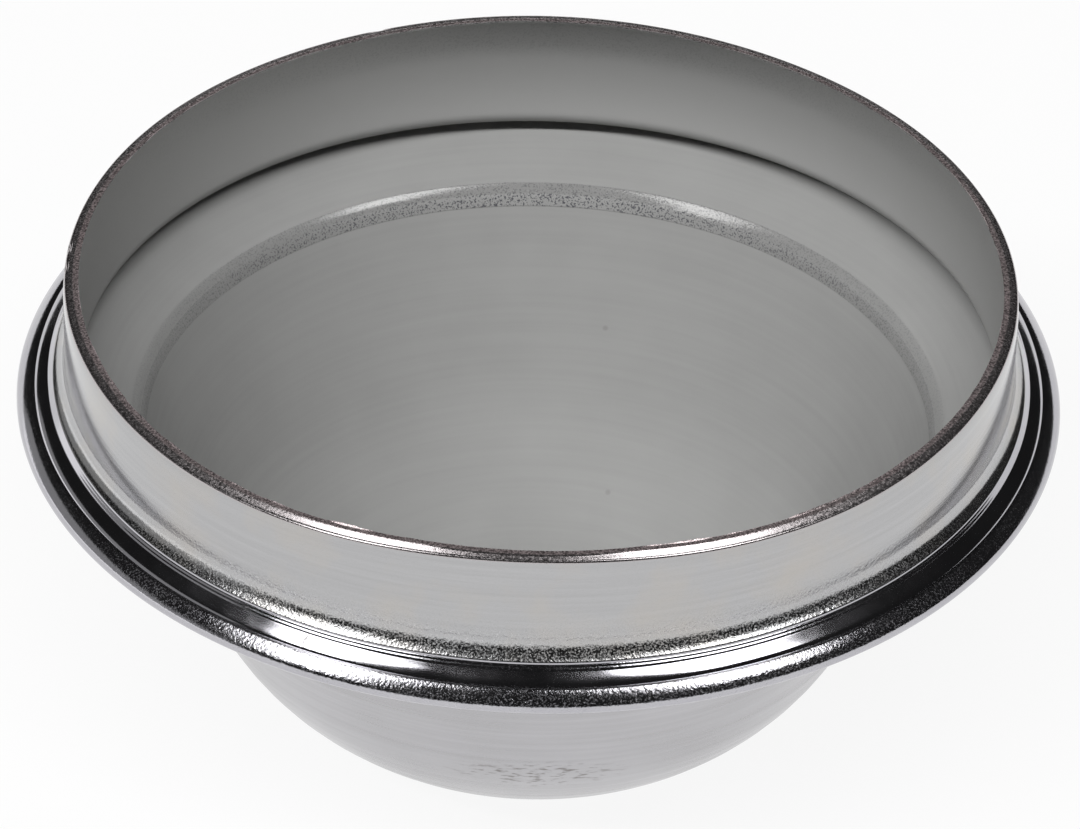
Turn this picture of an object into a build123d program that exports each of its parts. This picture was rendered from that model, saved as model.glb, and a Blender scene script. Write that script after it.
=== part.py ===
from build123d import *
import os
from math import cos, radians, sin

os.makedirs("parts", exist_ok=True)

# A hub grease cap: one cup drawn from steel sheet. It stands on its closed end with the mouth up,
# and the middle of the closed end is the origin. Lengths are in millimetres, angles in degrees.

# The blank
sheet = 1.0

# The neck that presses into the hub bore, and the rim where it is trimmed
neck_diameter = 62.2
overall_height = 33.35
rim_round = 0.35

# The flange: the wall folded back on itself in an open hem. The fold is pinched tighter than the
# sheet is thick, so inside it closes to a sharp slit, and the two layers part from there inwards.
flange_overhang = 3.3
hem_height = 23.98
hem_slope = 16.5
fold_radius = 0.98
neck_foot_round = 1.6
root_bend = 0.8

# The dome under the flange
wall_draft = 23.0
bowl_radius = 18.6
heel_radius = 12.0
heel_turn = 36.0
end_flat_diameter = 18.2

# What follows from them: the middle of the fold, and where the lower layer leaves it
neck_radius = neck_diameter / 2
fold_middle = neck_radius + flange_overhang - fold_radius
layer_out = fold_radius * sin(radians(hem_slope))
layer_down = fold_radius * cos(radians(hem_slope))
lower_start = (fold_middle + layer_out, hem_height - layer_down)

with BuildPart() as grease_cap:
    with BuildSketch(Plane.XZ) as section:
        # The outer face of the sheet, followed from the middle of the closed end to the rim
        with BuildLine() as sheet_face:
            floor = Line((0, 0), (end_flat_diameter / 2, 0))
            heel = JernArc(floor @ 1, floor % 1, heel_radius, heel_turn)
            bowl = JernArc(heel @ 1, heel % 1, bowl_radius, 90 - wall_draft - heel_turn)
            # The lower layer of the hem, drawn inwards past the dome wall so that the two can meet
            lower_line = PolarLine(
                lower_start, fold_middle, 180 + hem_slope, mode=Mode.PRIVATE
            )
            wall = IntersectingLine(bowl @ 1, bowl % 1, lower_line)
            lower_layer = Line(wall @ 1, lower_start)
            fold = JernArc(lower_layer @ 1, lower_layer % 1, fold_radius, 180 - 2 * hem_slope)
            neck_line = Line(
                (neck_radius, 0), (neck_radius, overall_height), mode=Mode.PRIVATE
            )
            upper_layer = IntersectingLine(fold @ 1, fold % 1, neck_line)
            neck = Line(upper_layer @ 1, neck_line @ 1)
            neck_foot = neck @ 0
            # The tight bend where the dome turns out into the flange
            root_corner = sheet_face.vertices().sort_by_distance(wall @ 1)[0]
            fillet(root_corner, root_bend)
            # One sheet thickness inwards, closed across the rim and down the axis
            offset(amount=sheet, side=Side.LEFT)
        make_face()
        # Pressing the hem down over the punch filled the foot of the neck out to a wide round on the
        # outside and left the lip inside it tight
        foot_corner = section.vertices().sort_by_distance(neck_foot)[0]
        fillet(foot_corner, neck_foot_round)
        # Trimming leaves the outer corner of the rim rounded and the inner one sharp
        rim_corner = section.vertices().group_by(Axis.Y)[-1].sort_by(Axis.X)[-1]
        fillet(rim_corner, rim_round)
    revolve(axis=Axis.Z)

grease_cap.part.label = "grease_cap"
export_step(grease_cap.part, "parts/grease_cap.step")
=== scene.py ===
import math

import bpy
import numpy as np
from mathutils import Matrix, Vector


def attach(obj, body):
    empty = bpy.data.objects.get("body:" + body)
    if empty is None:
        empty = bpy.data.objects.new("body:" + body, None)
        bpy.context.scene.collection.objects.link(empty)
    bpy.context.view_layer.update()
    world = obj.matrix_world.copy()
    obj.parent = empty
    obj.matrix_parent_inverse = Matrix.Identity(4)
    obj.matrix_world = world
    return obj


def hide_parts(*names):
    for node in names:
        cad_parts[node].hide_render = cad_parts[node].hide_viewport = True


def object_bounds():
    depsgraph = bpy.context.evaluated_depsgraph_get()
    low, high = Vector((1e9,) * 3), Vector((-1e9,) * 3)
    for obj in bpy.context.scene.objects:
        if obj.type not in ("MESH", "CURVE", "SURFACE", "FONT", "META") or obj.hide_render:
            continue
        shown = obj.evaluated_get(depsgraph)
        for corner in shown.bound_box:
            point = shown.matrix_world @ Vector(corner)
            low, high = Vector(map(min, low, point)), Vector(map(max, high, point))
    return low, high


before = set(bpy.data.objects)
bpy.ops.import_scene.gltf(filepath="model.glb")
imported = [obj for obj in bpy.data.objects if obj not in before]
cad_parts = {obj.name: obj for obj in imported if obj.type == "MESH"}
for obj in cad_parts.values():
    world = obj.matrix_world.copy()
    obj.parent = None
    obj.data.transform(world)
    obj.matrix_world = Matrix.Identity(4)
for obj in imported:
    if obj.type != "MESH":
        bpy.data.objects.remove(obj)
cad_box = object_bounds()

# The dome: the closed end of the cap, drawn down as a bowl out of one round blank of 1 mm steel sheet.
# The whole cap is this one sheet, so its section is followed here stroke by stroke along the outer
# face, from the middle of the closed end up to the rim. Sizes are in millimetres and degrees.
sheet = 1.0
end_flat = 9.1
heel_radius = 12.0
heel_turn = 36.0
bowl_radius = 18.6
wall_steepness = 67.0
root_bend = 0.8


def aim(degrees):
    """A step of one millimetre in the section, that steeply upwards and outwards."""
    return np.stack((np.cos(np.radians(degrees)), np.sin(np.radians(degrees))), -1)


def follow(stroke, shares, depth=0.0):
    """Points at these shares of a straight or a bend of the sheet, that deep below its outer face."""
    start, heading, length, turn, radius = stroke
    shares = np.asarray(shares, float)[:, None]
    inwards = aim((heading + turn * shares[:, 0]) + 90)
    if turn == 0:
        return start + length * shares * aim(heading) + depth * inwards
    reach = math.copysign(radius, turn)
    return start + reach * aim(heading + 90) + (depth - reach) * inwards


def bend_from(stroke, turn, radius):
    """The bend that carries a stroke on."""
    return (follow(stroke, [1])[0], stroke[1] + stroke[3], 0.0, turn, radius)


def straight_from(stroke, length):
    """The straight that carries a stroke on."""
    return (follow(stroke, [1])[0], stroke[1] + stroke[3], length, 0.0, 0.0)


floor_flat = (np.zeros(2), 0.0, end_flat, 0.0, 0.0)
heel = bend_from(floor_flat, heel_turn, heel_radius)
bowl = bend_from(heel, wall_steepness - heel_turn, bowl_radius)

# The flange: above the dome the same sheet is folded out and back over itself in a hem, the stop that
# the cap is driven home by. The fold was left standing as a bead, flatter on its back and underneath,
# and the press drew the upper layer down behind it, with a fine double step where the tool ended.
hem_slope = 16.5
lower_end = np.array((33.25, 23.036))
hem_height = 24.10
flange_radius = 34.3
bead_under = 0.40
nose_turn, nose_radius = 42.0, 0.6
back_turn, back_radius = 24.0, 2.2
crest_turn, crest_radius = 52.0, 0.3
band_slope = 25.0
valley_steepening = 1.5
neck_radius = 31.1
foot_radius = 1.4
foot_turn = 65.0
double_step = np.array(((0.06, 0.10), (0.16, 0.15), (0.22, 0.25), (0.28, 0.28), (0.31, 0.39)))

# The wall and the lower layer of the hem are as long as it takes to reach the fold
root_at_zero = (np.zeros(2), wall_steepness, 0.0, hem_slope - wall_steepness, root_bend)
still_to_go = lower_end - follow(bowl, [1])[0] - follow(root_at_zero, [1])[0]
steps = np.stack((aim(wall_steepness), aim(hem_slope)), -1)
wall_length, lower_length = np.linalg.solve(steps, still_to_go)
wall = straight_from(bowl, wall_length)
root = bend_from(wall, hem_slope - wall_steepness, root_bend)
lower_layer = straight_from(root, lower_length)

# The flat under the fold runs up to touch its tight lower round, which the bead then carries on in
# three rounds: its nose, its flatter back and the crest over the valley
to_under = np.array((flange_radius - bead_under, hem_height)) - lower_end
under_away = float(np.linalg.norm(to_under))
flat_lean = math.degrees(math.atan2(to_under[1], to_under[0]) - math.asin(bead_under / under_away))
fold_flat = (lower_end, flat_lean, math.sqrt(under_away**2 - bead_under**2), 0.0, 0.0)
fold_under = bend_from(fold_flat, 90 - flat_lean, bead_under)
bead_nose = bend_from(fold_under, nose_turn, nose_radius)
bead_back = bend_from(bead_nose, back_turn, back_radius)
bead_crest = bend_from(bead_back, crest_turn, crest_radius)

# The pressed band climbs from the valley behind the bead, far steeper there than above, up to the
# double step. From there a wide round leads into the neck.
valley = follow(bead_crest, [1])[0]
foot_start = neck_radius + foot_radius * (1 - math.cos(math.radians(foot_turn)))
band_width = valley[0] - foot_start - double_step[-1, 0]
band_slopes = band_slope * (1 + valley_steepening * (1 - np.linspace(0.03, 0.97, 16)) ** 4)
band_climb = np.cumsum(aim(180 - band_slopes), axis=0)
pressed_band = valley + band_climb * band_width / -band_climb[-1, 0]
# Each face of the steps has points close to both its ends, so that the corners stay crisp
step_corners = pressed_band[-1] + np.concatenate((np.zeros((1, 2)), double_step)) * (-1, 1)
step_shares = np.array((0.12, 0.88, 1.0))[:, None]
tool_steps = np.concatenate([a + step_shares * (b - a) for a, b in zip(step_corners, step_corners[1:])])
foot_round = (tool_steps[-1], 90 + foot_turn, 0.0, -foot_turn, foot_radius)
neck_foot = float(follow(foot_round, [1])[0][1])

# The neck: the sheet turned up straight, the part that is pressed into the hub. It draws in a little
# over its last millimetre, and was sheared off at the rim: the outer half of the cut runs down, most on
# the near side of the cap and hardly at all on the far side, and the inner edge has a ragged burr.
rim_height = 33.2
lead_in = 0.07
lead_in_start = 32.0
corner_round = 0.17
slant_from = 0.5
slant_mean = 0.14
slant_swing = 0.08

neck_heights = np.array((27.5, 28.2, 29.0, 29.8, 30.6, 31.4, lead_in_start))
neck_wall = np.stack((0 * neck_heights + neck_radius, neck_heights), -1)
rim_radius = neck_radius - lead_in
corner_start = rim_height - corner_round
lead_in_heights = np.array((32.3, 32.6, 32.85, corner_start))
taken_in = lead_in * ((lead_in_heights - lead_in_start) / (corner_start - lead_in_start)) ** 2
lead_in_wall = np.stack((neck_radius - taken_in, lead_in_heights), -1)
corner_at = (np.array((rim_radius, corner_start)), 90.0, 0.0, 90.0, corner_round)
rim_corner = follow(corner_at, np.linspace(0, 1, 6)[1:])
inner_radius = neck_radius - sheet
cut_width = rim_radius - corner_round - inner_radius
cut_shares = np.array((0.9, 0.8, 0.7, 0.6, 0.53, 0.46, 0.36, 0.24, 0.12, 0.05, 0.0))
cut_face = np.stack((inner_radius + cut_shares * cut_width, 0 * cut_shares + rim_height), -1)

# The inside of the sheet: under the upper layer of the hem its two inner faces meet in a sharp slit,
# seen from above as a black line below the rounded lip of the neck. The dome's own inner face has a
# knuckle where the hem's lower layer turns down into the bowl.
lip_round = 1.4
lip_height = 25.82
slit_height = 23.95

neck_depths = np.array((0.1, 0.3, 0.8, 1.8, 3.0, 4.4, 5.8, 6.8, rim_height - lip_height))
inner_neck = np.stack((0 * neck_depths + inner_radius, rim_height - neck_depths), -1)
lip_turns = np.linspace(180, 270 - hem_slope, 10)[1:]
lip = np.array((inner_radius + lip_round, lip_height)) + lip_round * aim(lip_turns)
lower_ends = follow(lower_layer, [0, 1], sheet)
slit_share = (slit_height - lower_ends[0, 1]) / (lower_ends[1, 1] - lower_ends[0, 1])
slit = follow(lower_layer, [slit_share], sheet)
hem_underside = lip[-1] + np.linspace(0, 1, 5)[1:-1, None] * (slit - lip[-1])

# Each run of the section goes with the finish that it shows and with how far the stretching roughened
# it: at the bends the grain of the steel stands out as a fine orange peel, and pressed faces are smooth.
even = np.linspace
knuckle_shares = even(1, 0, 13)
runs = [
    ("dome", 0.0, follow(floor_flat, [0.0, 0.3, 0.6, 0.9, 1.0])),
    ("dome", 0.0, follow(heel, even(0, 1, 9)[1:])),
    ("dome", 0.0, follow(bowl, even(0, 1, 9)[1:])),
    ("dome", 0.1, follow(wall, [0.05, 0.3, 0.6, 0.95, 1.0])),
    ("dome", 0.4, follow(root, even(0, 1, 6)[1:])),
    ("dome", 0.3, follow(lower_layer, [0.05, 0.3, 0.6, 0.95, 1.0])),
    ("flange", 0.6, follow(fold_flat, [0.08, 0.9, 1.0])),
    ("flange", 1.0, follow(fold_under, even(0, 1, 7)[1:])),
    ("flange", 1.0, follow(bead_nose, even(0, 1, 9)[1:])),
    ("flange", 1.0, follow(bead_back, even(0, 1, 7)[1:])),
    ("flange", 0.3, follow(bead_crest, even(0, 1, 9)[1:])),
    ("flange", 0.04, pressed_band),
    ("flange", 0.2, tool_steps),
    ("neck", 0.9, follow(foot_round, even(0, 1, 17)[1:])),
    ("neck", 0.6, neck_wall[:1]),
    ("neck", 0.2, neck_wall[1:2]),
    ("neck", 0.08, neck_wall[2:]),
    ("neck", 0.1, lead_in_wall),
    ("rim", 0.1, rim_corner),
    ("rim", 0.2, cut_face[:5]),
    ("rim", 1.0, cut_face[5:]),
    ("inside", 0.15, inner_neck[:4]),
    ("inside", 0.0, inner_neck[4:]),
    ("inside", 0.0, lip),
    ("inside", 0.0, hem_underside),
    ("inside", 0.0, slit),
    ("inside", 0.0, follow(lower_layer, even(slit_share, 0, 8)[1:-1], sheet)),
    ("inside", 0.0, follow(root, knuckle_shares[:3], sheet)),
    ("inside", 0.5, follow(root, knuckle_shares[3:9], sheet)),
    ("inside", 1.0, follow(root, knuckle_shares[9:], sheet)),
    ("inside", 1.0, follow(wall, [0.985, 0.97], sheet)),
    ("inside", 0.0, follow(wall, [0.96, 0.7, 0.4, 0.1, 0.0], sheet)),
    ("inside", 0.0, follow(bowl, even(1, 0, 9)[1:], sheet)),
    ("inside", 0.0, follow(heel, even(1, 0, 9)[1:], sheet)),
    ("inside", 0.0, follow(floor_flat, [0.9, 0.6, 0.3, 0.0], sheet)),
]
section = np.concatenate([points for zone, peel, points in runs])
zones = np.array([zone for zone, peel, points in runs for point in points])
peels = np.array([peel for zone, peel, points in runs for point in points])
along = np.concatenate(([0.0], np.cumsum(np.linalg.norm(np.diff(section, axis=0), axis=1))))

# Carried round the axis, the rim isn't quite level: its wave rises and falls by up to 0.26 mm
turns = 480
around = np.arange(turns) * 2 * np.pi / turns
from_front = around + np.pi / 2
rim_wave = -0.06 + sum(
    c * np.cos(n * from_front) + s * np.sin(n * from_front)
    for n, c, s in (
        (1, -0.011, -0.059),
        (2, 0.075, 0.034),
        (3, 0.057, -0.009),
        (4, 0.100, -0.017),
        (5, 0.045, 0.0),
        (6, 0.045, 0.0),
    )
)
share_of_neck = np.clip((section[:, 1] - neck_foot) / (rim_height - neck_foot), 0, 1)
radius = np.repeat(section[:, :1], turns, 1)
height = section[:, 1:] + share_of_neck[:, None] * rim_wave


def kept_in_front(gone, full):
    """1 in front, down to 0 at the sides, between these cosines of the angle from the front."""
    return np.clip((np.cos(from_front) - gone) / (full - gone), 0, 1)


# The tool stood a little askew, so its double step is deepest in front and fades out to the sides
first_step = int(np.argmin(np.linalg.norm(section - tool_steps[0], axis=1)))
step_ways = np.linspace(1 / len(tool_steps), 1, len(tool_steps))[:, None]
unstepped = pressed_band[-1] + step_ways * (tool_steps[-1] - pressed_band[-1])
unmarked = 1 - kept_in_front(0.4, 0.85)
step_rings = slice(first_step, first_step + len(tool_steps))
radius[step_rings] += unmarked * (unstepped - tool_steps)[:, :1]
height[step_rings] += unmarked * (unstepped - tool_steps)[:, 1:]

# The slant of the cut lowers the outer side of the rim, and the lead-in below goes down with it
slant = slant_mean + slant_swing * np.cos(from_front)
slant_share = np.zeros(len(section))
slant_share[zones == "rim"] = np.concatenate(
    (np.ones(len(rim_corner)), np.clip((cut_shares - slant_from) / (1 - slant_from), 0, 1))
)
slant_share[zones == "neck"] = share_of_neck[zones == "neck"] ** 3
height -= slant_share[:, None] * slant

# The burr on the inner edge of the cut is torn, and knocks left three nicks in the outer edge
rng = np.random.default_rng(3)
inner_edge = int(np.flatnonzero(zones == "rim")[-1])
ragged = rng.normal(0, 1, turns)
ragged = np.convolve(np.concatenate((ragged[-2:], ragged, ragged[:2])), np.ones(5) / 2.2, "valid")
burr_height = 0.03
burr_raggedness = 0.035
burr = burr_height + burr_raggedness * np.clip(ragged, -0.6, 2)
height[inner_edge] += burr
height[inner_edge - 1] += 0.35 * burr
radius[inner_edge] -= 0.3 * burr
nick_width = 0.45
for nick_at, nick_depth in ((112.0, 0.10), (176.5, 0.16), (180.5, 0.12)):
    off_centre = (np.degrees(around) - nick_at + 180) % 360 - 180
    bite = nick_depth * np.exp(-((off_centre / nick_width) ** 2))
    for ring in np.flatnonzero(zones == "rim")[:5]:
        radius[ring] -= bite
        height[ring] -= 0.5 * bite
# In front the wave would lift the rim past the top of the CAD, so it is levelled off there
height = np.minimum(height, cad_box[1].z * 1000)

# One mesh: rings joined by quads, with the first and last ring closed into the middle of each face
mm = 0.001
spun = np.stack((radius * np.cos(around), radius * np.sin(around), height), -1)
last = len(section) - 1
middles = [(0, 0, section[0, 1]), (0, 0, section[last, 1])]
points = np.concatenate((spun[1:last].reshape(-1, 3), middles))
outer_middle = (last - 1) * turns
inner_middle = outer_middle + 1
here = np.arange(turns)
after = (here + 1) % turns
faces = []
finish_of_face = []
finishes = ["dome", "neck", "flange", "rim", "inside"]
for ring in range(last - 2):
    low = ring * turns
    high = low + turns
    faces += np.stack((low + here, low + after, high + after, high + here), -1).tolist()
    finish_of_face += [finishes.index(zones[ring + 2])] * turns
faces += np.stack((here * 0 + outer_middle, after, here), -1).tolist()
finish_of_face += [finishes.index("dome")] * turns
top = (last - 2) * turns
faces += np.stack((here * 0 + inner_middle, top + here, top + after), -1).tolist()
finish_of_face += [finishes.index("inside")] * turns

cup_mesh = bpy.data.meshes.new("drawn_cup")
cup_mesh.from_pydata((points * mm).tolist(), [], faces)
cup_mesh.polygons.foreach_set("material_index", finish_of_face)
cup_mesh.polygons.foreach_set("use_smooth", [True] * len(faces))
# How far along the sheet each point is from the middle of the closed end, for streaks that run round
along_sheet = cup_mesh.attributes.new("along_sheet", "FLOAT", "POINT")
along_spun = np.concatenate((np.repeat(along[1:last], turns), [0.0], [along[last]]))
along_sheet.data.foreach_set("value", along_spun)
# The orange peel inside shows most on the far side of the knuckle, and on the bead and the foot of the
# neck it shows in front and is all but pressed out at the sides
peel_shares = np.ones((len(section), turns))
peel_shares[zones == "inside"] = 0.3 + 0.7 * np.clip(np.sin(around), 0, 1) ** 2
peel_shares[(zones == "neck") | (zones == "flange")] = 0.2 + 0.8 * kept_in_front(0.55, 0.85)
peel_spun = peels[:, None] * peel_shares
orange_peel = cup_mesh.attributes.new("orange_peel", "FLOAT", "POINT")
orange_peel.data.foreach_set("value", np.concatenate((peel_spun[1:last].ravel(), [0.0, 0.0])))
# The inner edge of the rim, the bottom of the slit and the valley behind the bead stay sharp
slit_ring = int(np.argmax(np.where(zones == "inside", section[:, 0], 0)))
valley_ring = int(np.argmin(np.linalg.norm(section - valley, axis=1)))
ends = np.zeros(2 * len(cup_mesh.edges), int)
cup_mesh.edges.foreach_get("vertices", ends)
ring_of_end = ends.reshape(-1, 2) // turns + 1
kept_sharp = np.isin(ring_of_end[:, 0], (inner_edge, slit_ring, valley_ring))
sharp_edge = cup_mesh.attributes.new("sharp_edge", "BOOLEAN", "EDGE")
sharp_edge.data.foreach_set("value", (ring_of_end[:, 0] == ring_of_end[:, 1]) & kept_sharp)
cup_mesh.update()
cup = bpy.data.objects.new("drawn_cup", cup_mesh)
bpy.context.scene.collection.objects.link(cup)
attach(cup, "root")
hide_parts("grease_cap")


def hex_colour(code):
    """A written sRGB colour as the linear one that a socket takes."""
    parts = [int(code[i : i + 2], 16) / 255 for i in (1, 3, 5)]
    return [c / 12.92 if c <= 0.04045 else ((c + 0.055) / 1.055) ** 2.4 for c in parts] + [1.0]


def add(material, kind, sockets=None, **settings):
    """Adds a node: its settings by name, and its sockets each as a value or as another node's output."""
    node = material.node_tree.nodes.new(kind)
    for name, value in settings.items():
        setattr(node, name, value)
    for name, value in (sockets or {}).items():
        if isinstance(value, bpy.types.NodeSocket):
            material.node_tree.links.new(value, node.inputs[name])
        else:
            node.inputs[name].default_value = value
    return node


def start_finish(name):
    """A new material with no nodes yet, and the place on the cap in millimetres for its patterns."""
    finish = bpy.data.materials.new(name)
    finish.use_nodes = True
    finish.node_tree.nodes.clear()
    place = add(finish, "ShaderNodeTexCoord")
    to_mm = {0: place.outputs["Object"], "Scale": 1 / mm}
    return finish, add(finish, "ShaderNodeVectorMath", to_mm, operation="SCALE")


def lying_round(finish, in_mm, width, length):
    """Streaks that lie round the cap, about this wide and this long in millimetres."""
    way = add(finish, "ShaderNodeAttribute", attribute_name="along_sheet")
    split = add(finish, "ShaderNodeSeparateXYZ", {0: in_mm.outputs[0]})
    slow_x = add(finish, "ShaderNodeMath", {0: split.outputs["X"], 1: 1 / length}, operation="MULTIPLY")
    slow_y = add(finish, "ShaderNodeMath", {0: split.outputs["Y"], 1: 1 / length}, operation="MULTIPLY")
    fast_z = add(finish, "ShaderNodeMath", {0: way.outputs["Fac"], 1: 1 / width}, operation="MULTIPLY")
    round_it = add(
        finish,
        "ShaderNodeCombineXYZ",
        {"X": slow_x.outputs[0], "Y": slow_y.outputs[0], "Z": fast_z.outputs[0]},
    )
    return add(finish, "ShaderNodeTexNoise", {"Vector": round_it.outputs[0], "Scale": 1.0, "Detail": 3.0})


# The dome's finish: bright zinc plate over steel that slid through the drawing ring, so it is satin,
# with faint streaks lying round it, a slow cloudiness of the plating and dark marks low on its near side.
dome_plate, in_mm = start_finish("zinc_plate_drawn_dome")
streaks = lying_round(dome_plate, in_mm, width=0.5, length=25)
clouds = add(dome_plate, "ShaderNodeTexNoise", {"Vector": in_mm.outputs[0], "Scale": 1 / 9, "Detail": 3.0})
# Dark marks 0.8 mm long and 0.25 mm high darken the plate colour in a patch 12 mm wide, low on the near side
# of the dome
flattened = add(
    dome_plate,
    "ShaderNodeVectorMath",
    {0: in_mm.outputs[0], 1: (1 / 0.8, 1 / 0.8, 1 / 0.25)},
    operation="MULTIPLY",
)
dark_mark_noise = add(dome_plate, "ShaderNodeTexNoise", {"Vector": flattened.outputs[0], "Scale": 1.0, "Detail": 3.0})
dark_marks = add(
    dome_plate,
    "ShaderNodeMapRange",
    {"Value": dark_mark_noise.outputs["Fac"], "From Min": 0.54, "From Max": 0.66, "To Min": 0.0, "To Max": 1.0},
)
off_patch = add(
    dome_plate,
    "ShaderNodeVectorMath",
    {0: in_mm.outputs[0], 1: (0.5, -22.0, 8.8)},
    operation="SUBTRACT",
)
patch_shares = add(
    dome_plate,
    "ShaderNodeVectorMath",
    {0: off_patch.outputs[0], 1: (1 / 6, 1 / 6, 1 / 1.8)},
    operation="MULTIPLY",
)
patch_reach = add(dome_plate, "ShaderNodeVectorMath", {0: patch_shares.outputs[0]}, operation="LENGTH")
in_patch = add(
    dome_plate,
    "ShaderNodeMapRange",
    {"Value": patch_reach.outputs["Value"], "From Min": 0.5, "From Max": 1.1, "To Min": 1.0, "To Max": 0.0},
)
marked_patch = add(
    dome_plate,
    "ShaderNodeMath",
    {0: dark_marks.outputs[0], 1: in_patch.outputs[0]},
    operation="MULTIPLY",
)
tone = add(
    dome_plate,
    "ShaderNodeMath",
    {0: streaks.outputs["Fac"], 1: clouds.outputs["Fac"]},
    operation="ADD",
)
tone_range = add(
    dome_plate,
    "ShaderNodeMapRange",
    {"Value": tone.outputs[0], "From Min": 0.7, "From Max": 1.3, "To Min": 0.0, "To Max": 1.0},
)
plate_colour = add(
    dome_plate,
    "ShaderNodeMix",
    {"Factor": tone_range.outputs[0], 6: hex_colour("#acabad"), 7: hex_colour("#b6b5b8")},
    data_type="RGBA",
)
marked_colour = add(
    dome_plate,
    "ShaderNodeMix",
    {"Factor": marked_patch.outputs[0], 6: plate_colour.outputs[2], 7: hex_colour("#7d7978")},
    data_type="RGBA",
)
sheen = add(
    dome_plate,
    "ShaderNodeMapRange",
    {"Value": tone.outputs[0], "From Min": 0.7, "From Max": 1.3, "To Min": 0.30, "To Max": 0.22},
)
relief = add(
    dome_plate,
    "ShaderNodeBump",
    {"Height": streaks.outputs["Fac"], "Strength": 0.25, "Distance": 0.00002},
)
steel = add(
    dome_plate,
    "ShaderNodeBsdfPrincipled",
    {
        "Base Color": marked_colour.outputs[2],
        "Metallic": 1.0,
        "Roughness": sheen.outputs[0],
        "Normal": relief.outputs[0],
    },
)
add(dome_plate, "ShaderNodeOutputMaterial", {"Surface": steel.outputs["BSDF"]})
cup_mesh.materials.append(dome_plate)

# The neck's finish: the same plate, ironed brighter, so the white sheet below mirrors in it as a clean
# grey. It has faint lines round it and tan stains, and at its foot the orange peel breaks up the mirror.
neck_plate, in_mm = start_finish("zinc_plate_drawn_neck")
peel = add(neck_plate, "ShaderNodeAttribute", attribute_name="orange_peel")
lines = lying_round(neck_plate, in_mm, width=0.3, length=12)
stains = add(neck_plate, "ShaderNodeTexNoise", {"Vector": in_mm.outputs[0], "Scale": 1 / 4, "Detail": 3.0})
stained = add(
    neck_plate,
    "ShaderNodeMapRange",
    {"Value": stains.outputs["Fac"], "From Min": 0.45, "From Max": 0.75, "To Min": 0.0, "To Max": 0.8},
)
line_colour = add(
    neck_plate,
    "ShaderNodeMix",
    {"Factor": lines.outputs["Fac"], 6: hex_colour("#acacad"), 7: hex_colour("#bbbbbc")},
    data_type="RGBA",
)
stain_colour = add(
    neck_plate,
    "ShaderNodeMix",
    {"Factor": stained.outputs[0], 6: line_colour.outputs[2], 7: hex_colour("#bab6b1")},
    data_type="RGBA",
)
# Orange peel 0.2 mm across
grains = add(neck_plate, "ShaderNodeTexNoise", {"Vector": in_mm.outputs[0], "Scale": 1 / 0.2, "Detail": 5.0})
specks = add(neck_plate, "ShaderNodeTexNoise", {"Vector": in_mm.outputs[0], "Scale": 1 / 0.12, "Detail": 2.0})
dull = add(
    neck_plate,
    "ShaderNodeMapRange",
    {"Value": specks.outputs["Fac"], "From Min": 0.45, "From Max": 0.7, "To Min": 0.0, "To Max": 0.7},
)
dulled = add(
    neck_plate,
    "ShaderNodeMath",
    {0: dull.outputs[0], 1: peel.outputs["Fac"]},
    operation="MULTIPLY",
)
bright = add(neck_plate, "ShaderNodeMath", {0: 1.0, 1: dulled.outputs[0]}, operation="SUBTRACT")
peeled = add(
    neck_plate,
    "ShaderNodeMath",
    {0: grains.outputs["Fac"], 1: peel.outputs["Fac"]},
    operation="MULTIPLY",
)
fine = add(neck_plate, "ShaderNodeMath", {0: lines.outputs["Fac"], 1: 0.12}, operation="MULTIPLY")
heights = add(neck_plate, "ShaderNodeMath", {0: peeled.outputs[0], 1: fine.outputs[0]}, operation="ADD")
relief = add(
    neck_plate,
    "ShaderNodeBump",
    {"Height": heights.outputs[0], "Strength": 1.0, "Distance": 0.000035},
)
steel = add(
    neck_plate,
    "ShaderNodeBsdfPrincipled",
    {
        "Base Color": stain_colour.outputs[2],
        "Metallic": bright.outputs[0],
        "Roughness": 0.14,
        "Normal": relief.outputs[0],
    },
)
add(neck_plate, "ShaderNodeOutputMaterial", {"Surface": steel.outputs["BSDF"]})
cup_mesh.materials.append(neck_plate)

# The flange's finish: zinc plate pressed nearly to a mirror between the tools, so the soft boxes show
# in it as hard white bands. On the bead the orange peel tears the edges of those bands.
flange_plate, in_mm = start_finish("zinc_plate_pressed")
peel = add(flange_plate, "ShaderNodeAttribute", attribute_name="orange_peel")
# Orange peel 0.2 mm across
grains = add(
    flange_plate,
    "ShaderNodeTexNoise",
    {"Vector": in_mm.outputs[0], "Scale": 1 / 0.2, "Detail": 5.0},
)
specks = add(
    flange_plate,
    "ShaderNodeTexNoise",
    {"Vector": in_mm.outputs[0], "Scale": 1 / 0.12, "Detail": 2.0},
)
dull = add(
    flange_plate,
    "ShaderNodeMapRange",
    {"Value": specks.outputs["Fac"], "From Min": 0.5, "From Max": 0.75, "To Min": 0.0, "To Max": 0.35},
)
dulled = add(
    flange_plate,
    "ShaderNodeMath",
    {0: dull.outputs[0], 1: peel.outputs["Fac"]},
    operation="MULTIPLY",
)
bright = add(flange_plate, "ShaderNodeMath", {0: 1.0, 1: dulled.outputs[0]}, operation="SUBTRACT")
peeled = add(
    flange_plate,
    "ShaderNodeMath",
    {0: grains.outputs["Fac"], 1: peel.outputs["Fac"]},
    operation="MULTIPLY",
)
relief = add(
    flange_plate,
    "ShaderNodeBump",
    {"Height": peeled.outputs[0], "Strength": 1.0, "Distance": 0.00002},
)
clouds = add(flange_plate, "ShaderNodeTexNoise", {"Vector": in_mm.outputs[0], "Scale": 1 / 3, "Detail": 4.0})
plate_colour = add(
    flange_plate,
    "ShaderNodeMix",
    {"Factor": clouds.outputs["Fac"], 6: hex_colour("#b1b0b6"), 7: hex_colour("#c3c2c6")},
    data_type="RGBA",
)
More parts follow.
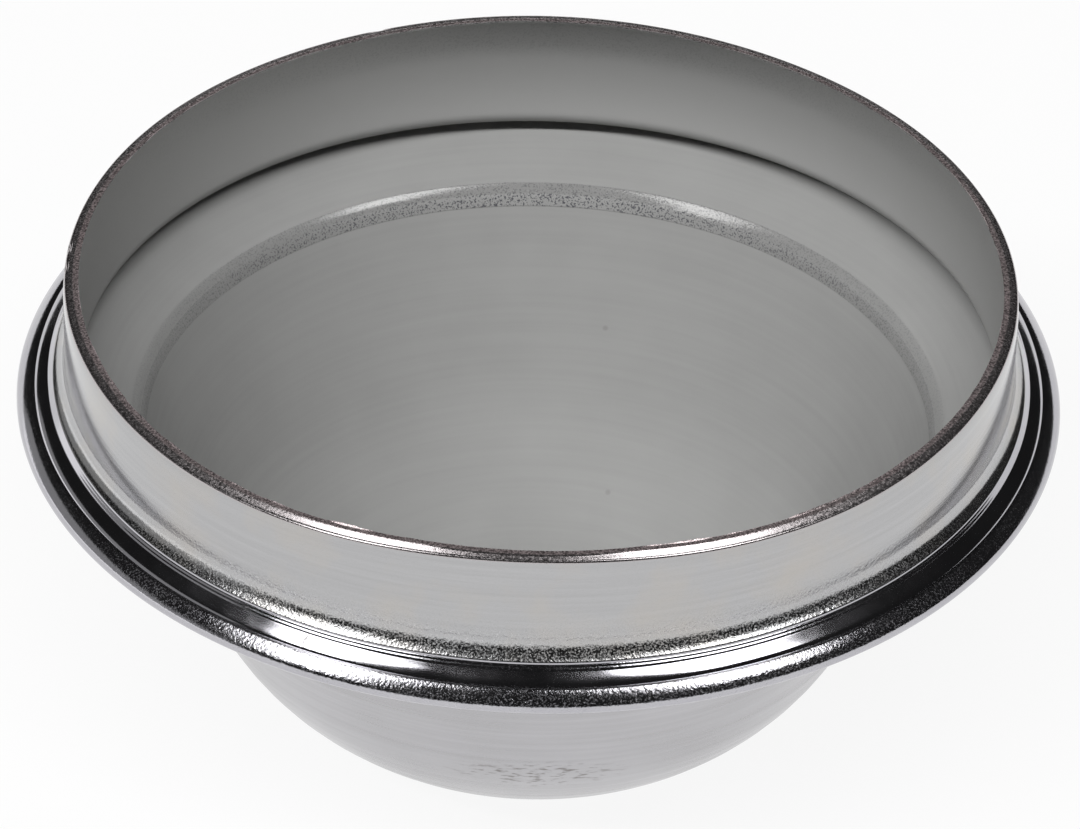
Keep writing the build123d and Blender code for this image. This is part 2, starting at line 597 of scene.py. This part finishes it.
# A fine crack across the pressed band, 26 degrees left of the front, that wavers by 0.1 mm
across = add(
    flange_plate,
    "ShaderNodeVectorMath",
    {0: in_mm.outputs[0], 1: (0.901, -0.434, 0.0)},
    operation="DOT_PRODUCT",
)
waver = add(flange_plate, "ShaderNodeTexNoise", {"Vector": in_mm.outputs[0], "Scale": 1 / 0.6, "Detail": 2.0})
wavering = add(
    flange_plate,
    "ShaderNodeMath",
    {0: waver.outputs["Fac"], 1: 0.5, 2: across.outputs["Value"]},
    operation="MULTIPLY_ADD",
)
off_crack = add(
    flange_plate,
    "ShaderNodeMath",
    {0: wavering.outputs[0], 1: 0.25},
    operation="SUBTRACT",
)
crack_gap = add(flange_plate, "ShaderNodeMath", {0: off_crack.outputs[0]}, operation="ABSOLUTE")
cracked = add(
    flange_plate,
    "ShaderNodeMapRange",
    {"Value": crack_gap.outputs[0], "From Min": 0.03, "From Max": 0.06, "To Min": 0.8, "To Max": 0.0},
)
split = add(flange_plate, "ShaderNodeSeparateXYZ", {0: in_mm.outputs[0]})
in_front = add(flange_plate, "ShaderNodeMath", {0: split.outputs["Y"], 1: 0.0}, operation="LESS_THAN")
on_band = add(flange_plate, "ShaderNodeMath", {0: peel.outputs["Fac"], 1: 0.1}, operation="LESS_THAN")
crack_side = add(
    flange_plate,
    "ShaderNodeMath",
    {0: cracked.outputs[0], 1: in_front.outputs[0]},
    operation="MULTIPLY",
)
crack = add(
    flange_plate,
    "ShaderNodeMath",
    {0: crack_side.outputs[0], 1: on_band.outputs[0]},
    operation="MULTIPLY",
)
crack_colour = add(
    flange_plate,
    "ShaderNodeMix",
    {"Factor": crack.outputs[0], 6: plate_colour.outputs[2], 7: hex_colour("#3a3634")},
    data_type="RGBA",
)
sheen = add(
    flange_plate,
    "ShaderNodeMapRange",
    {"Value": clouds.outputs["Fac"], "From Min": 0.3, "From Max": 0.7, "To Min": 0.08, "To Max": 0.14},
)
steel = add(
    flange_plate,
    "ShaderNodeBsdfPrincipled",
    {
        "Base Color": crack_colour.outputs[2],
        "Metallic": bright.outputs[0],
        "Roughness": sheen.outputs[0],
        "Normal": relief.outputs[0],
    },
)
add(flange_plate, "ShaderNodeOutputMaterial", {"Surface": steel.outputs["BSDF"]})
cup_mesh.materials.append(flange_plate)

# The rim's finish: steel sheared after drawing and only thinly plated, so a brownish mauve shows in
# its shade. The shear left it bright but scored across, and pitted where the cut broke out.
cut_steel, in_mm = start_finish("sheared_steel_edge")
# Scores and pits 0.15 mm across
pits = add(cut_steel, "ShaderNodeTexNoise", {"Vector": in_mm.outputs[0], "Scale": 1 / 0.15, "Detail": 3.0})
patches = add(cut_steel, "ShaderNodeTexNoise", {"Vector": in_mm.outputs[0], "Scale": 1 / 2.5, "Detail": 3.0})
broken = add(cut_steel, "ShaderNodeAttribute", attribute_name="orange_peel")
broken_colour = add(
    cut_steel,
    "ShaderNodeMix",
    {"Factor": patches.outputs["Fac"], 6: hex_colour("#ab9b9d"), 7: hex_colour("#a29a99")},
    data_type="RGBA",
)
edge_colour = add(
    cut_steel,
    "ShaderNodeMix",
    {"Factor": broken.outputs["Fac"], 6: hex_colour("#bbb6b7"), 7: broken_colour.outputs[2]},
    data_type="RGBA",
)
dull = add(
    cut_steel,
    "ShaderNodeMapRange",
    {"Value": pits.outputs["Fac"], "From Min": 0.35, "From Max": 0.65, "To Min": 0.1, "To Max": 0.5},
)
dulled = add(
    cut_steel,
    "ShaderNodeMath",
    {0: dull.outputs[0], 1: broken.outputs["Fac"]},
    operation="MULTIPLY",
)
bright = add(cut_steel, "ShaderNodeMath", {0: 1.0, 1: dulled.outputs[0]}, operation="SUBTRACT")
sheen = add(
    cut_steel,
    "ShaderNodeMapRange",
    {"Value": pits.outputs["Fac"], "From Min": 0.3, "From Max": 0.7, "To Min": 0.12, "To Max": 0.32},
)
pitted = add(
    cut_steel,
    "ShaderNodeMath",
    {0: pits.outputs["Fac"], 1: broken.outputs["Fac"]},
    operation="MULTIPLY",
)
relief = add(
    cut_steel,
    "ShaderNodeBump",
    {"Height": pitted.outputs[0], "Strength": 1.0, "Distance": 0.00002},
)
steel = add(
    cut_steel,
    "ShaderNodeBsdfPrincipled",
    {
        "Base Color": edge_colour.outputs[2],
        "Metallic": bright.outputs[0],
        "Roughness": sheen.outputs[0],
        "Normal": relief.outputs[0],
    },
)
add(cut_steel, "ShaderNodeOutputMaterial", {"Surface": steel.outputs["BSDF"]})
cup_mesh.materials.append(cut_steel)

# The inside's finish: the plating is thin and dull here, away from the anodes, an even matt grey that
# scatters the light. On the knuckle the punch burnished the orange peel bright; its pits get painted shade.
dull_plate, in_mm = start_finish("zinc_plate_dull")
way = add(dull_plate, "ShaderNodeAttribute", attribute_name="along_sheet")
peel = add(dull_plate, "ShaderNodeAttribute", attribute_name="orange_peel")
streaks = lying_round(dull_plate, in_mm, width=0.4, length=15)
clouds = add(dull_plate, "ShaderNodeTexNoise", {"Vector": in_mm.outputs[0], "Scale": 1 / 5, "Detail": 5.0})
tone = add(
    dull_plate,
    "ShaderNodeMath",
    {0: streaks.outputs["Fac"], 1: clouds.outputs["Fac"]},
    operation="ADD",
)
tone_range = add(
    dull_plate,
    "ShaderNodeMapRange",
    {"Value": tone.outputs[0], "From Min": 0.7, "From Max": 1.3, "To Min": 0.0, "To Max": 1.0},
)
plate_colour = add(
    dull_plate,
    "ShaderNodeMix",
    {"Factor": tone_range.outputs[0], 6: hex_colour("#999998"), 7: hex_colour("#9e9e9d")},
    data_type="RGBA",
)
# Orange peel 0.13 mm across, with painted shade in its pits
grains = add(dull_plate, "ShaderNodeTexNoise", {"Vector": in_mm.outputs[0], "Scale": 1 / 0.13, "Detail": 2.0})
peeled = add(
    dull_plate,
    "ShaderNodeMath",
    {0: grains.outputs["Fac"], 1: peel.outputs["Fac"]},
    operation="MULTIPLY",
)
relief = add(
    dull_plate,
    "ShaderNodeBump",
    {"Height": peeled.outputs[0], "Strength": 1.0, "Distance": 0.000025},
)
# The low pits of the orange peel, where shade is painted into the colour
pits = add(
    dull_plate,
    "ShaderNodeMapRange",
    {"Value": grains.outputs["Fac"], "From Min": 0.49, "From Max": 0.37, "To Min": 0.0, "To Max": 1.0},
)
pitted = add(
    dull_plate,
    "ShaderNodeMath",
    {0: pits.outputs[0], 1: peel.outputs["Fac"]},
    operation="MULTIPLY",
)
# Inside the neck the grey is paler, as far as the lip and fading from there to the slit
satin_depth = 7.4
neck_share = add(
    dull_plate,
    "ShaderNodeMapRange",
    {
        "Value": way.outputs["Fac"],
        "From Min": along[inner_edge] + satin_depth,
        "From Max": along[slit_ring],
        "To Min": 1.0,
        "To Max": 0.0,
    },
)
neck_colour = add(
    dull_plate,
    "ShaderNodeMix",
    {"Factor": neck_share.outputs[0], 6: plate_colour.outputs[2], 7: hex_colour("#b0b0af")},
    data_type="RGBA",
)
# Two specks of dirt 0.3 mm across on the far wall of the bowl
upper_speck = add(
    dull_plate,
    "ShaderNodeVectorMath",
    {0: in_mm.outputs[0], 1: (4.5, 22.15, 13.27)},
    operation="DISTANCE",
)
lower_speck = add(
    dull_plate,
    "ShaderNodeVectorMath",
    {0: in_mm.outputs[0], 1: (4.97, 15.76, 3.85)},
    operation="DISTANCE",
)
nearer_speck = add(
    dull_plate,
    "ShaderNodeMath",
    {0: upper_speck.outputs["Value"], 1: lower_speck.outputs["Value"]},
    operation="MINIMUM",
)
speck_share = add(
    dull_plate,
    "ShaderNodeMapRange",
    {"Value": nearer_speck.outputs[0], "From Min": 0.1, "From Max": 0.25, "To Min": 0.22, "To Max": 0.0},
)
speck_colour = add(
    dull_plate,
    "ShaderNodeMix",
    {"Factor": speck_share.outputs[0], 6: neck_colour.outputs[2], 7: hex_colour("#57534d")},
    data_type="RGBA",
)
# Painted shade: the pits of the orange peel are coloured dark grey, most on the knuckle
pit_shade_colour = add(
    dull_plate,
    "ShaderNodeMix",
    {"Factor": pitted.outputs[0], 6: speck_colour.outputs[2], 7: hex_colour("#55555a")},
    data_type="RGBA",
)
sheen = add(
    dull_plate,
    "ShaderNodeMapRange",
    {"Value": peel.outputs["Fac"], "From Min": 0.1, "From Max": 0.4, "To Min": 0.45, "To Max": 0.12},
)
# Bare metal: most of it at the rim, hardly any left at the lip, and some on the burnished knuckle
unpeeled = add(dull_plate, "ShaderNodeMath", {0: 1.0, 1: peel.outputs["Fac"]}, operation="SUBTRACT")
knuckle = add(
    dull_plate,
    "ShaderNodeMath",
    {0: unpeeled.outputs[0], 1: peel.outputs["Fac"]},
    operation="MULTIPLY",
)
satin = add(
    dull_plate,
    "ShaderNodeMapRange",
    {
        "Value": way.outputs["Fac"],
        "From Min": along[inner_edge],
        "From Max": along[inner_edge] + satin_depth,
        "To Min": 0.8,
        "To Max": 0.1,
    },
)
satin_share = add(
    dull_plate,
    "ShaderNodeMath",
    {0: satin.outputs[0], 1: neck_share.outputs[0]},
    operation="MULTIPLY",
)
bared = add(
    dull_plate,
    "ShaderNodeMath",
    {0: knuckle.outputs[0], 1: 0.9, 2: satin_share.outputs[0]},
    operation="MULTIPLY_ADD",
)
steel = add(
    dull_plate,
    "ShaderNodeBsdfPrincipled",
    {
        "Base Color": pit_shade_colour.outputs[2],
        "Metallic": bared.outputs[0],
        "Roughness": sheen.outputs[0],
        "Specular IOR Level": 0.0,
        "Normal": relief.outputs[0],
    },
)
add(dull_plate, "ShaderNodeOutputMaterial", {"Surface": steel.outputs["BSDF"]})
cup_mesh.materials.append(dull_plate)

# The floor: a plain white sheet that the cup stands on, turned up at its far edge all round. It is
# seen as white and keeps a soft shadow.
floor_rings = ((0.2, 0.0), (1.0, 0.0), (1.1, 0.05), (1.2, 0.21))
floor_turns = 64
floor_angles = np.arange(floor_turns) * 2 * np.pi / floor_turns
floor_points = [(r * math.cos(a), r * math.sin(a), z) for r, z in floor_rings for a in floor_angles]
floor_faces = [tuple(range(floor_turns))]
for ring in range(len(floor_rings) - 1):
    for k in range(floor_turns):
        a = ring * floor_turns + k
        b = ring * floor_turns + (k + 1) % floor_turns
        floor_faces.append((a, a + floor_turns, b + floor_turns, b))
floor_mesh = bpy.data.meshes.new("floor")
floor_mesh.from_pydata(floor_points, [], floor_faces)
white_sheet = bpy.data.materials.new("white_paper")
white_sheet.use_nodes = True
white_sheet.node_tree.nodes.clear()
paper = add(white_sheet, "ShaderNodeBsdfDiffuse", {"Color": hex_colour("#f4f4f4")})
glow = add(white_sheet, "ShaderNodeEmission", {"Color": (1, 1, 1, 1), "Strength": 1.0})
path = add(white_sheet, "ShaderNodeLightPath")
seen = add(
    white_sheet,
    "ShaderNodeMath",
    {0: path.outputs["Is Camera Ray"], 1: path.outputs["Is Glossy Ray"]},
    operation="MAXIMUM",
)
seen = add(
    white_sheet,
    "ShaderNodeMath",
    {0: seen.outputs[0], 1: path.outputs["Is Transmission Ray"]},
    operation="MAXIMUM",
)
glow_share = 0.9
share = add(white_sheet, "ShaderNodeMath", {0: seen.outputs[0], 1: glow_share}, operation="MULTIPLY")
both = add(
    white_sheet,
    "ShaderNodeMixShader",
    {"Fac": share.outputs[0], 1: paper.outputs[0], 2: glow.outputs[0]},
)
add(white_sheet, "ShaderNodeOutputMaterial", {"Surface": both.outputs[0]})
floor_mesh.materials.append(white_sheet)
floor = bpy.data.objects.new("floor", floor_mesh)
bpy.context.scene.collection.objects.link(floor)

# The light, in metres and degrees, in a dim room: two soft boxes overhead with a dark gap between them,
# which only bright metal shows, and a low grey card at the left. A thin strip in front and a weak fill
# from the back are taken up by matt surfaces only.
box_height = 0.6
box_radiance = 6.0


def hang_lamp(name, width, depth, radiance, place, turn):
    """A rectangular lamp that looks this bright, at its place and turned about each axis."""
    lamp = bpy.data.lights.new(name, "AREA")
    lamp.shape = "RECTANGLE"
    lamp.size = width
    lamp.size_y = depth
    lamp.energy = radiance * math.pi * lamp.size * lamp.size_y
    stand = bpy.data.objects.new(name, lamp)
    stand.location = place
    stand.rotation_euler = [math.radians(angle) for angle in turn]
    bpy.context.scene.collection.objects.link(stand)
    return stand


# The boxes' places and sizes are shares of the height that they hang at
for name, sideways, backwards, lean, width, depth in (
    ("soft_box_left", -0.563, -0.294, 143.7, 0.28, 0.90),
    ("soft_box_right", 0.418, -0.109, 40.6, 0.31, 0.553),
):
    place = (sideways * box_height, backwards * box_height, box_height)
    box = hang_lamp(name, width * box_height, depth * box_height, box_radiance, place, (0, 0, lean))
    box.visible_diffuse = False
hang_lamp("grey_card", 0.5, 1.3, 0.3, (-0.85, 0.25, 0.27), (0, -90, 0))
front_fill = hang_lamp("front_fill", 1.6, 0.1, 38.0, (-0.3, -0.67, 1.0), (34, 0, 0))
front_fill.visible_glossy = False
back_fill = hang_lamp("back_fill", 1.2, 0.6, 0.5, (0.2, 0.7, 0.9), (-38, 0, 0))
back_fill.visible_glossy = False
world = bpy.data.worlds.new("dim_room")
world.use_nodes = True
world.node_tree.nodes["Background"].inputs["Color"].default_value = hex_colour("#202020")
world.node_tree.nodes["Background"].inputs["Strength"].default_value = 1.0
bpy.context.scene.world = world

# The camera: a long lens, 450 mm from the rim, looking down at it by 36 degrees and turned a little.
photo_width = 1080
pixels_per_mm = 15.369
away = 450.0
tilt = math.radians(36.031)
roll = math.radians(1.432)
aside = 0.123
below = 9.19
camera_data = bpy.data.cameras.new("camera")
camera_data.sensor_width = 36.0
camera_data.lens = pixels_per_mm * away / photo_width * camera_data.sensor_width
camera_data.clip_start = 0.01
camera = bpy.data.objects.new("camera", camera_data)
camera.location = (
    aside * mm,
    (-away * math.cos(tilt) - below * math.sin(tilt)) * mm,
    (away * math.sin(tilt) - below * math.cos(tilt) + rim_height) * mm,
)
camera.rotation_mode = "XYZ"
camera.rotation_euler = (math.pi / 2 - tilt, 0, 0)
camera.rotation_euler.rotate_axis("Z", roll)
bpy.context.scene.collection.objects.link(camera)
bpy.context.scene.camera = camera
bpy.context.scene.view_settings.view_transform = "Standard"
